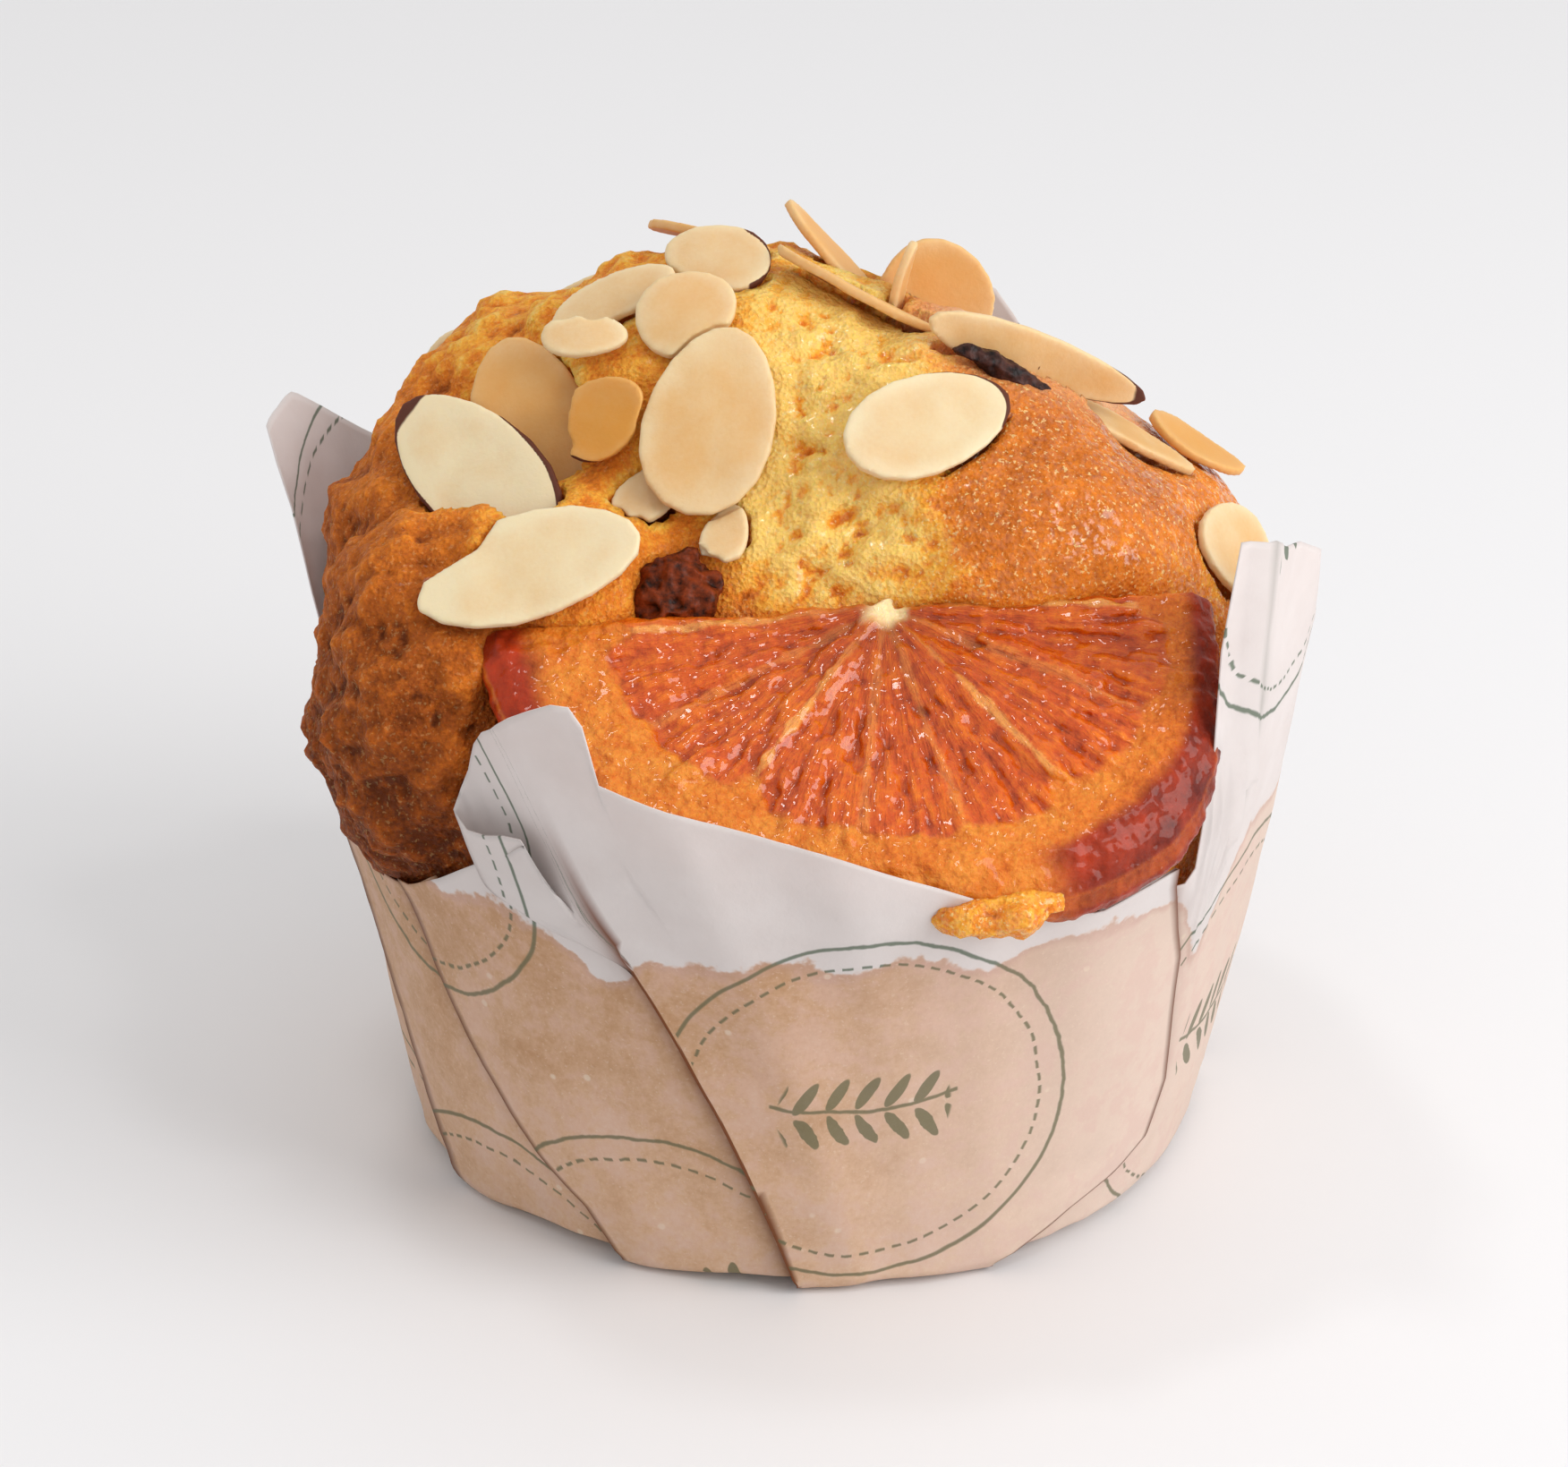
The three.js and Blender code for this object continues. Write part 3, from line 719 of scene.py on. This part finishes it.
def makeOrange():
    middle, along, uphill, normal, top = sliceLie()

    def onCut(places):
        # millimetres along the cut and uphill
        return np.stack([(places - middle) @ along, (places - middle) @ uphill], axis=1) / mm

    flat = onCut(top)
    rim = flat[(flat[:, 1] < -0.5) & (np.hypot(*flat.T) > 20)]
    rim = rim[np.argsort(np.arctan2(rim[:, 1], rim[:, 0]))]
    rimTurn, rimReach = np.arctan2(rim[:, 1], rim[:, 0]), np.hypot(rim[:, 0], rim[:, 1])
    turns = np.linspace(-math.pi, 0, orange["turns"])
    rimTurn = np.r_[-math.pi, rimTurn, 0]
    outline = np.interp(turns, rimTurn, np.r_[-flat[:, 0].min(), rimReach, flat[:, 0].max()])
    outline = np.maximum(outline, orange["leastReach"] + 4 * np.abs(np.cos(turns)) ** 3)
    outline = np.convolve(np.pad(outline, 8, mode="edge"), np.ones(17) / 17, "valid")
    edge = np.stack([outline * np.cos(turns), outline * np.sin(turns)], axis=1)
    core = np.array([orange["coreShift"], 0.0])
    edgeTurn = np.degrees(np.arctan2(edge[:, 1], edge[:, 0] - core[0]))
    edgeTurn[0] = -180
    edgeReach = np.hypot(*(edge - core).T)

    def zones(flat):
        # what each place on the cut face is, from its millimetres along the cut and uphill
        away = flat - core
        reach = np.maximum(np.hypot(*away.T), 0.01)
        turn = np.degrees(np.arctan2(away[:, 1], away[:, 0]))
        turn = np.where(turn > 90, turn - 360, turn)
        pads = np.c_[away, np.zeros(len(away))] * mm
        ragged, wobble = 0.8 * cloud(pads, 3.0, 3, 3), 0.4 * cloud(pads, 2.0, 7, 2)

        def nearest(lines):
            gaps = np.radians(np.abs(turn[:, None] - np.array(lines))) * reach[:, None]
            return gaps.min(axis=1)

        strong, faint = nearest(orange["membranes"]), nearest(orange["faintMembranes"])
        skinAt = np.interp(turn, edgeTurn, edgeReach) - reach
        notch = 2.4 * np.exp(-((strong / 1.5) ** 2)) + 0.7 * np.exp(-((faint / 1.0) ** 2))
        fleshEdge = orange["fleshReach"] + 0.9 * np.cos(np.radians(turn * 2 + 40))
        fleshEdge = np.minimum(fleshEdge, reach + skinAt - 4.0)
        flesh = blend(0.5, -0.5, reach - fleshEdge + notch - ragged) * blend(1.0, 2.4, reach + ragged)
        width = orange["membraneWidth"]
        line = blend(width * 1.4, width * 0.5, strong + wobble) * blend(0.2, 0.9, reach / 24 + 0.3)
        line = np.maximum(line, 0.35 * blend(0.5, 0.2, faint + wobble)) * flesh
        peelWidth = orange["peel"] * (1 + 1.6 * blend(-150, -172, turn) + 0.4 * blend(-70, -45, turn))
        bare = blend(-150, -140, turn) * blend(-62, -72, turn)  # here only pith shows
        heading = away / reach[:, None]
        return {
            "flesh": flesh,
            "membrane": line,
            "peel": blend(peelWidth * 1.5, peelWidth * 0.6, skinAt + 0.5 * ragged) * (1 - bare),
            "core": blend(2.4, 1.0, reach + 1.5 * ragged),
            "burnt": blend(-75, -35, turn) * blend(8, 0.5, skinAt + 2 * ragged),
            "skinAt": skinAt,
            "bare": bare,
            "strong": strong,
            "radial": heading[:, :1] * along + heading[:, 1:] * uphill,
            "turn": turn,
            "reach": reach,
        }

    # a first solid: rings round the core out to the peel, then down its sides to the underside
    rings = np.linspace(0, 1, orange["rings"])[1:]
    grid = core + (edge - core)[None] * rings[:, None, None]
    inner = zones(grid.reshape(-1, 2))
    pads = np.c_[grid.reshape(-1, 2), np.zeros(grid[..., 0].size)] * mm
    height = 0.5 * cloud(pads, 13, 8, 2) - 0.9 * np.exp(-((inner["skinAt"] / 0.7) ** 2))
    height -= inner["flesh"] * (0.5 * blend(0.4, 3.0, inner["strong"]) - 0.5 * cloud(pads, 4.5, 12, 3))
    places = [(*core, -0.2), *np.c_[grid.reshape(-1, 2), height]]
    ids = np.arange(1, len(places)).reshape(grid.shape[:2])
    faces = [(0, *pair) for pair in zip(ids[0], ids[0, 1:])]
    faces += zip(ids[:-1, :-1].flat, ids[1:, :-1].flat, ids[1:, 1:].flat, ids[:-1, 1:].flat)
    border = [*ids[-1], *ids[-2::-1, -1], 0, *ids[:-1, 0]]
    rimPlaces = np.array([places[i] for i in border])
    outward = np.tile([0.0, 0.6], (len(border), 1))
    outward[: len(edge)] = edge / np.hypot(*edge.T)[:, None]
    before, count, topCount = border, len(border), len(places)
    borderTurn = np.degrees(np.arctan2(rimPlaces[:, 1], rimPlaces[:, 0]))
    droops = blend(-80, -58, borderTurn) * blend(-10, -46, borderTurn)
    thick = 3.2 + (orange["thickness"] - 0.6) * droops
    for drop, swell in ((0.12, 0.3), (0.35, 0.6), (0.65, 0.6), (0.88, 0.25), (1.0, -0.4)):
        ring = rimPlaces.copy()
        ring[:, :2] += outward * (swell + orange["spread"] * droops * math.sin(drop * 1.9))[:, None]
        ring[:, 2] = rimPlaces[:, 2] * (1 - drop) - thick * drop
        fresh = list(range(len(places), len(places) + count))
        places += list(ring)
        faces += zip(before, fresh, fresh[1:] + fresh[:1], before[1:] + before[:1])
        before = fresh
    hub = len(places)
    places.append((0.0, -12.0, -orange["thickness"]))
    faces += [(before[(i + 1) % count], before[i], hub) for i in range(count)]
    local = np.array(places) * mm
    mesh = meshOf(middle + local[:, :1] * along + local[:, 1:2] * uphill + local[:, 2:] * normal, faces)
    rest = len(places) - topCount
    keep(mesh, "flesh", np.r_[0, inner["flesh"], np.zeros(rest)])
    radial = np.vstack([along[None], inner["radial"], np.tile(along, (rest, 1))])
    attribute = mesh.attributes.new("radial", "FLOAT_VECTOR", "POINT")
    attribute.data.foreach_set("vector", radial.astype(np.float32).ravel())

    # the vesicles swell out of the flesh, and all of it becomes one skin
    material = orangeFinish()
    vesicleTree = scatterTree("juice vesicles in the flesh", "flesh", 600000.0, (1.0, 0.3, 0.17), "radial")
    sizes = {"Spacing": orange["vesicleSpacing"] * mm, "Length": orange["vesicleLength"] * mm}
    mesh = grown(mesh, vesicleTree, **sizes, Smallest=0.5, Largest=1.4, Seed=3, Finish=material)
    mesh = evenMesh(mesh, orange["voxel"], 2, 0.4)
    places, normals = placesOf(mesh), normalsOf(mesh)
    depth = (places - middle) @ normal / mm
    here = zones(onCut(places))
    facing = blend(0.3, 0.7, normals @ normal)
    rough = 0.2 * cloud(places, 1.3, 4, 2) + (1 - here["flesh"]) * 0.16 * cloud(places, 2.4, 5, 3)
    places += normals * ((rough + 0.12 * here["membrane"]) * mm)[:, None]
    movePlaces(mesh, places)
    wall = (1 - facing) * blend(2.5, 1.0, here["skinAt"]) * (1 - 0.9 * here["bare"])
    for name in ("flesh", "turn", "reach"):
        keep(mesh, name, here[name])
    for name in ("membrane", "core"):
        keep(mesh, name, here[name] * facing)
    keep(mesh, "peel", np.maximum(here["peel"] * facing, wall))
    keep(mesh, "burnt", np.clip(0.5 * here["burnt"] + 0.3 * blend(-1.5, -3.5, depth), 0, 1))
    # painted shade: the slice is darker where it lies sunk between the vesicles
    keep(mesh, "hollowShade", blend(-0.12, 0.16, sunkBelow(mesh, 8)))
    newPiece("candied_orange", mesh, ["orange_slice"], material)
    report(f"orange slice, {len(mesh.polygons)} faces")


makeOrange()


# Paper case: one sheet, folded flat over itself at each pleat, open at the top like a tulip

pleats = [  # each one's line as (height, angle), and which neighbour lies on top there
    ([(0, -150), (80, -194)], "next"),
    ([(0, -118), (6, -123), (10, -130), (17, -138), (31, -149), (60, -176)], "next"),
    ([(0, -92.5), (11, -98), (20, -103), (31, -110), (42, -117), (54, -124), (62, -129)], "next"),
    ([(0, -66), (4.5, -53), (6.5, -45), (8.5, -39), (14, -37), (28, -40), (37, -45), (70, -52)], "previous"),
    ([(0, 8), (80, 0)], "previous"),
    ([(0, 40), (80, 32)], "previous"),
    ([(0, 66), (80, 78)], "next"),
    ([(0, 105), (80, 95)], "previous"),
    ([(0, 146), (80, 138)], "next"),
]
rolledPleat = 2  # the front-left one, which opens into a roll towards the rim
rollOpens, rollLifts = (33.5, 38.5), (35, 45)  # heights over which its folds part, and stand away
# the roll in section: (arc, outward) where it is shut, the same where it is open, and its rim's height
rollSection = [
    (1.0, 0.0, -2.2, 1.8, 45.4),
    (1.0, 1.0, -2.7, 1.4, 45.5),
    (0.66, 1.0, -4.6, 1.2, 45.2),
    (0.33, 1.0, -7.2, 0.9, 44.3),
    (0.1, 1.0, -9.8, 0.5, 43.8),
    (0.0, 1.0, -11.6, -0.3, 44.6),
    (-0.02, 1.5, -11.2, -1.4, 46.0),
    (0.0, 2.0, -9.4, -2.0, 48.2),
    (0.03, 2.0, -6.5, -1.6, 51.4),
    (0.05, 2.0, -3.5, -0.6, 53.6),
    (0.07, 2.0, 0.0, 0.6, 55.4),
]
# rims that the sheet has and the wall's table doesn't, as (angle, height)
tipRim = [(-127, 54.4), (-122.8, 56.9), (-118.5, 58.6), (-115.0, 58.9), (-114.3, 52.3)]
cornerRim = [(-46, 36.5), (-40.2, 35.5), (-40, 42), (-39.8, 50), (-39.6, 60), (-39.4, 67.5), (-33.5, 66.2)]
cornerRim += [(-26, 63), (-20, 61.6), (-14, 59), (-11, 53)]
lapRim = [(-172, 40), (-160, 31), (-147, 33), (-139, 36.4), (-132, 39.9), (-126.5, 42.4), (-122, 45.3)]
# a crease in the panel at the right corner, as (height, angle)
cornerCrease = [(0, -46), (26, -38), (33, -36), (38, -32.5), (50, -31.5), (58, -33), (80, -35)]


def lineAt(line, at):
    # reads a line of pairs
    return np.interp(at, *zip(*line))


def rollAt(step):
    return [np.interp(step, range(len(rollSection)), measure) for measure in zip(*rollSection)]


def tuckDepth(height):
    return 2.0 + (paper["tuck"] - 2.0) * np.clip(height / 30, 0, 1)


def pleatLine(number, height):
    turns, which = divmod(number, len(pleats))
    return lineAt(pleats[which][0], height) + 360 * turns


def onTop(number):
    return pleats[number % len(pleats)][1]


def sheetColumns():
    # each column of the sheet as (panel, share across it, fold step or None, roll step or None)
    columns = []
    for panel in range(len(pleats)):
        width = math.radians(pleatLine(panel + 1, 25) - pleatLine(panel, 25)) * paper["panelRadius"]
        count = max(8, round(width / paper["columnWidth"]))
        columns += [(panel, i / count, None, None) for i in range(count + 1)]
        if panel + 1 == rolledPleat:
            steps = np.arange(0.5, len(rollSection) - 1, 0.5)
            columns += [(panel, 1.0, None, step) for step in steps]
        else:
            columns += [(panel, 1.0, step, None) for step in (0.0, 0.3, 0.65, 1.0, 1.15)]
    return columns


def columnAt(column, height):
    # the column's angle in degrees and lift in millimetres at those heights
    panel, share, fold, roll = column
    gap = paper["layerGap"]
    radius = wallRadius(pleatLine(panel + 1, height), height)
    perArc = 180 / math.pi / radius
    tuck = tuckDepth(height)
    ruled = height
    if panel == rolledPleat:
        ruled = height - blend(0, 0.08, share) * np.maximum(height - 51, 0)
    first, last = pleatLine(panel, ruled), pleatLine(panel + 1, ruled)
    opened, lifted = blend(*rollOpens, height), blend(*rollLifts, height)
    if roll is not None:
        shutArc, shutLift, openArc, openLift, _ = rollAt(roll)
        arc = shutArc * tuck * (1 - opened) + openArc * opened
        return last + arc * perArc, shutLift * gap * (1 - lifted) + openLift * lifted
    if fold is not None:
        lift = gap * (1 + 0.5 * (fold > 1)) * np.ones_like(height)
        if onTop(panel + 1) == "next":
            arc = tuck * (1 - fold) if fold <= 1 else -0.12
        else:
            arc = -tuck * fold if fold <= 1 else -tuck
            lift = gap * (1.0 if fold <= 1 else 0.5) * np.ones_like(height)
        return last + arc * perArc, lift
    startArc = 0.0 if onTop(panel) == "next" else -tuck
    endArc = tuck if onTop(panel + 1) == "next" else 0.0
    startLift = endLift = 0.0
    if panel == rolledPleat:
        startArc = rollSection[-1][0] * tuck * (1 - opened)
        startLift = (0.6 - 2 * gap) * lifted
    if panel + 1 == rolledPleat:
        endArc = tuck * (1 - opened) + rollSection[0][2] * opened
        endLift = rollSection[0][3] * lifted
    start, end = first + startArc * perArc, last + endArc * perArc
    angle = start + (end - start) * share
    fromFirst, fromLast = (angle - first) / perArc, (end - angle) / perArc
    fade = tuck + 10
    lift = np.zeros_like(height)
    if onTop(panel) == "next":
        lift = lift + 2 * gap * blend(fade, tuck, fromFirst)
    if onTop(panel + 1) == "previous":
        lift = lift + 2 * gap * blend(fade, tuck, fromLast)
    lift = lift + startLift * blend(9, 0, fromFirst) + endLift * blend(10, 0, fromLast)
    return angle, lift


def columnTop(column):
    # where the column meets the rim
    panel, _, _, roll = column
    if roll is not None:
        return rollAt(roll)[4]
    heights = np.arange(10, 72, 0.25)
    angle, _ = columnAt(column, heights)
    rim = rimHeight(angle)
    if panel + 1 == rolledPleat:
        rim = lineAt(lapRim, angle)
    if panel == rolledPleat:
        rim = np.where(angle < tipRim[-1][0], lineAt(tipRim, angle), rim)
    if panel == rolledPleat + 1:
        rim = np.where(angle < cornerRim[-1][0], lineAt(cornerRim, angle), rim)
    above = rim - heights
    first = max(1, int(np.argmax(above <= 0)))
    return heights[first - 1] + 0.25 * above[first - 1] / max(above[first - 1] - above[first], 0.01)


def leftBulge(angle, height):
    # the left side stands out from the base up to the batter's overhang
    up = blend(0, 30, height)
    aside = np.mod(angle - 12 + 8 * up, 360) - 180
    amount = 0.85 * blend(46, 36, height) + 0.9 * blend(56, 64, height)
    return paper["leftBulge"] * amount * np.exp(-((aside / (23 - 6 * up)) ** 2))


def paperFinish():
    paint = Paint("greaseproof paper")
    u, v, soak, height = map(paint.stored, ("sheetU", "sheetV", "soak", "height"))
    fibre = paint.speckle(0.5, 4, 0.65)
    wave = paint.speckle(6.0, 4, 0.6)
    dapple = paint.speckle(1.6, 3, 0.6)
    edge = paint.between(soak + (wave - 0.5) * 5.0 + (dapple - 0.5) * 1.5, 0.25, -0.25)
    halo = paint.between(soak + (wave - 0.5) * 5.0, -1.6, -0.2) * edge
    white = paint.mix(wave, (226, 216, 212), (240, 234, 232))
    tone = wave * 0.6 + dapple * 0.25 + fibre * 0.35 - height * 0.006
    soaked = paint.ramp(tone, [(0.3, 206, 160, 120), (0.55, 228, 190, 156), (0.8, 240, 214, 190)])
    soaked = paint.mix(paint.stored("pale") * 0.8, soaked, (240, 222, 210))
    soaked = paint.mix(halo * 0.5, soaked, (206, 168, 152))
    specks = paint.between(paint.grains(4.5), 0.1, 0.05)
    soaked = paint.mix(specks * 0.6, soaked, (248, 232, 210))
    flecks = paint.between(paint.speckle(0.35, 2, 0.6), 0.6, 0.72)
    soaked = paint.mix(flecks * 0.3, soaked, (248, 228, 208))
    blush = paint.between(wave * 0.6 + dapple * 0.5, 0.5, 0.66)
    soaked = paint.mix(blush * 0.3, soaked, (226, 186, 176))
    colour = paint.mix(edge, white, soaked)
    # painted shadow of the pleats' edges, dark brown
    colour = paint.mix(paint.stored("pleatShadow") * 0.95, colour, (124, 62, 18))
    # painted shade along the corner crease, grey
    colour = paint.mix(paint.stored("fold"), colour, (168, 164, 156))

    # the printed motif: a plain ring, a dashed ring inside it, and a sprig of leaves in the middle
    gridU, gridV = paper["ringGrid"]
    reachU = paint.maths("WRAP", u + (wave - 0.5) * 1.2, gridU / 2, -gridU / 2)
    reachV = paint.maths("WRAP", v + (wave - 0.5) * 1.2, gridV / 2, -gridV / 2)
    radius = paint.maths("SQRT", reachU * reachU + reachV * reachV)
    turn = paint.maths("ARCTAN2", reachV, reachU)
    ring = paper["ringRadius"]

    def stroke(distance, width):
        return paint.between(paint.maths("ABSOLUTE", distance), width / 2 + 0.12, width / 2 - 0.08)

    dashes = paint.between(paint.maths("FRACT", turn * 10.5), 0.38, 0.44)
    inked = stroke(radius - ring, 0.34)
    inked = paint.maths("MAXIMUM", inked, stroke(radius - (ring - 2.3), 0.26) * dashes)
    stem = stroke(reachV - reachU * reachU * 0.02, 0.36) * paint.between(radius, 8.2, 8.0)
    leafStep = paint.maths("WRAP", reachU, 1.3, -1.3)
    side = paint.maths("ABSOLUTE", reachV)
    leafLine = leafStep - side * 0.55 + 0.9
    leaf = paint.between(leafLine * leafLine * 2.2 + (side - 1.9) * (side - 1.9) * 0.34, 1.0, 0.8)
    leaf = leaf * paint.between(radius, 7.6, 7.3)
    inked = paint.maths("MAXIMUM", inked, paint.maths("MAXIMUM", stem, leaf))
    colour = paint.mix(inked * 0.82, colour, paint.mix(edge, (88, 108, 84), (112, 112, 80)))
    relief = paint.bump(fibre * 0.6 + dapple, 0.08, 0.5)
    front = paint.surface(colour, 0.74 - edge * 0.28, 0.3, relief)
    through = paint.add("BsdfTranslucent", {"Color": colour})
    return paint.finish(paint.add("MixShader", {0: 0.27, 1: front, 2: through}))


def makePaper():
    columns, motifs = sheetColumns(), paper["ringPlaces"]
    bend, gap = paper["cornerRadius"], paper["layerGap"]
    grid, sheetUv = [], []
    for column in columns:
        top = columnTop(column)
        height = bend + (top - bend) * np.linspace(0, 1, paper["wallRows"])
        angle, lift = columnAt(column, height)
        radius = wallRadius(angle, height) + lift
        aside = (angle - lineAt(cornerCrease, height)) * radius * math.pi / 180
        radius += 0.6 * np.clip(1 - np.abs(aside) / 4, 0, 1) * blend(24, 36, height)
        radius += 1.0 * (aside < 0) * blend(30, 42, height)
        radius += leftBulge(angle, height)
        radius -= 2.2 * np.clip(-aside / 3.2, 0, 1) * blend(-14, -9, aside) * blend(38, 60, height)
        # the flat base, then the bend up into the wall
        foot, footLift = columnAt(column, np.array([0.5]))
        footRadius = (wallRadius(foot, bend) + leftBulge(foot, bend) + footLift)[0]
        level = 0.12 + 2 * gap - footLift[0]
        rows = [(share * (footRadius - bend), level, foot[0]) for share in (0.25, 0.6, 0.9)]
        for tilt in np.linspace(0, math.pi / 2, 5)[:-1]:
            rise = (bend - level) * (1 - math.cos(tilt)) + level
            rows.append((footRadius - bend + bend * math.sin(tilt), rise, foot[0]))
        rows += list(zip(radius, height, angle))
        grid.append(rows)
        # where the print falls, on a sheet that curves round the case
        ringAngle, ringHeight, ringTurn = motifs[column[0] % len(motifs)]
        if column[0] >= len(motifs):
            ringAngle += paper["ringsOnwards"]
        sides, up, turns = np.array(rows).T
        across = (turns - ringAngle) * math.pi / 180 * sides
        up = up - ringHeight + across**2 / 460
        lean, rise = math.cos(math.radians(ringTurn)), math.sin(math.radians(ringTurn))
        sheetUv.append([across * lean + up * rise, up * lean - across * rise])
    radius, height, angle = np.array(grid).transpose(2, 1, 0)
    # painted shadow: a dark line along each pleat's edge, on the layer that runs under it
    pleatShadow = np.zeros_like(radius)
    for number in range(-1, len(pleats) + 1):
        toRight = (angle - pleatLine(number, height)) * math.pi / 180 * radius
        under = -toRight if onTop(number) == "next" else toRight
        pleatShadow = np.maximum(pleatShadow, np.exp(-np.maximum(under, 0) / 0.9) * (under > -0.3))
    # painted shade: the panel is greyed just past the corner crease
    behind = (angle - lineAt(cornerCrease, height)) * math.pi / 180 * radius
    fold = 0.6 * np.exp(-np.maximum(behind, 0) / 1.0) * (behind > -0.05) * blend(34, 42, height)
    turn = np.radians(angle)
    flat = np.stack([radius * turn, height, np.zeros_like(radius)], axis=-1).reshape(-1, 3) * mm
    crumple = cloud(flat, 22, 3, 2) + 0.6 * np.abs(cloud(flat, 13, 8, 2))
    crumple = crumple.reshape(radius.shape) * blend(2, 12, height)
    radius = radius + paper["wrinkle"] * crumple
    radius = radius - 0.5 * np.abs(cloud(flat, 8, 6, 2)).reshape(radius.shape) * blend(9, 1, height)
    places = np.stack([radius * np.cos(turn), radius * np.sin(turn), height], axis=-1)
    every = np.vstack([(0.0, 0.0, 0.5), places.reshape(-1, 3)]) * mm
    ids = np.arange(1, len(every)).reshape(radius.shape)
    after = np.roll(ids, -1, axis=1)
    faces = [(0, second, first) for first, second in zip(ids[0], after[0])]
    faces += zip(ids[:-1].flat, after[:-1].flat, after[1:].flat, ids[1:].flat)
    mesh = meshOf(every, faces)
    u, v = np.array(sheetUv).transpose(1, 2, 0)
    line = paper["stainHeight"] + 1.0 * cloud(flat, 9, 4, 2).reshape(radius.shape)
    for dipAngle, dip, spread in paper["stainDips"]:
        line -= dip * np.exp(-(((angle - dipAngle) / spread) ** 2))
    kept = {"sheetU": (0, u), "sheetV": (0, v), "soak": (-30, height - line), "height": (0, height)}
    kept["pleatShadow"] = (0, pleatShadow * blend(50, 36, height))
    kept["fold"] = (0, fold)
    kept["pale"] = (0, blend(-100, -40, angle) * blend(205, 110, angle))
    for name, (middle, values) in kept.items():
        keep(mesh, name, np.r_[middle, values.ravel()])

    mesh = modified(mesh, "SOLIDIFY", {"thickness": paper["thickness"] * mm, "offset": -1})
    newPiece("folded_paper_case", mesh, ["paper_case"], paperFinish())
    report(f"paper, {len(mesh.polygons)} faces")


makePaper()


# Floor, light and camera

stage = {
    "floor": (235, 234, 235),
    "world": (1.0, 1.0, 1.0),
    "worldStrength": 0.74,
    # each one's name, place, width and watts; the small ones overhead give the wet parts their glints
    "lights": [
        ("window", (0.62, -0.28, 0.4), 0.5, 3.75),
        ("glint", (-0.12, 0.06, 0.62), 0.08, 0.3),
        ("glint_low", (0.2, -0.2, 0.6), 0.07, 0.22),
    ],
    "lightsAimAt": (0, 0, 0.04),
    "lens": 102.74,
    "lookDown": 27,  # degrees
    "lookFrom": 0.4,  # metres
    "lookAt": (-0.0028, 0.036),  # x and z
}


def makeStage():
    work = bmesh.new()
    bmesh.ops.create_grid(work, x_segments=1, y_segments=1, size=3.0)
    mesh = bpy.data.meshes.new("floor")
    work.to_mesh(mesh)
    work.free()
    floor = addObject("floor", mesh)
    paint = Paint("pale table")
    mesh.materials.append(paint.finish(paint.surface(tint(*stage["floor"]), 0.6)))

    world = bpy.data.worlds.new("soft daylight")
    world.use_nodes = True
    sky = world.node_tree.nodes["Background"]
    sky.inputs["Color"].default_value = (*stage["world"], 1)
    sky.inputs["Strength"].default_value = stage["worldStrength"]
    scene.world = world

    for name, place, size, power in stage["lights"]:
        light = bpy.data.lights.new(name, "AREA")
        light.shape = "SQUARE"
        light.size = size
        light.energy = power
        lamp = addObject(name, light)
        lamp.location = place
        aim = Vector(stage["lightsAimAt"]) - lamp.location
        lamp.rotation_euler = aim.to_track_quat("-Z", "Y").to_euler()

    lens = bpy.data.cameras.new("camera")
    lens.sensor_width = 36
    lens.lens = stage["lens"]
    camera = addObject("camera", lens)
    tilt, apart, (x, z) = math.radians(stage["lookDown"]), stage["lookFrom"], stage["lookAt"]
    camera.location = (x, -apart * math.cos(tilt), z + apart * math.sin(tilt))
    camera.rotation_euler = (math.pi / 2 - tilt, 0, 0)
    scene.camera = camera
    scene.view_settings.view_transform = "Standard"


makeStage()
report("stage, light and camera")
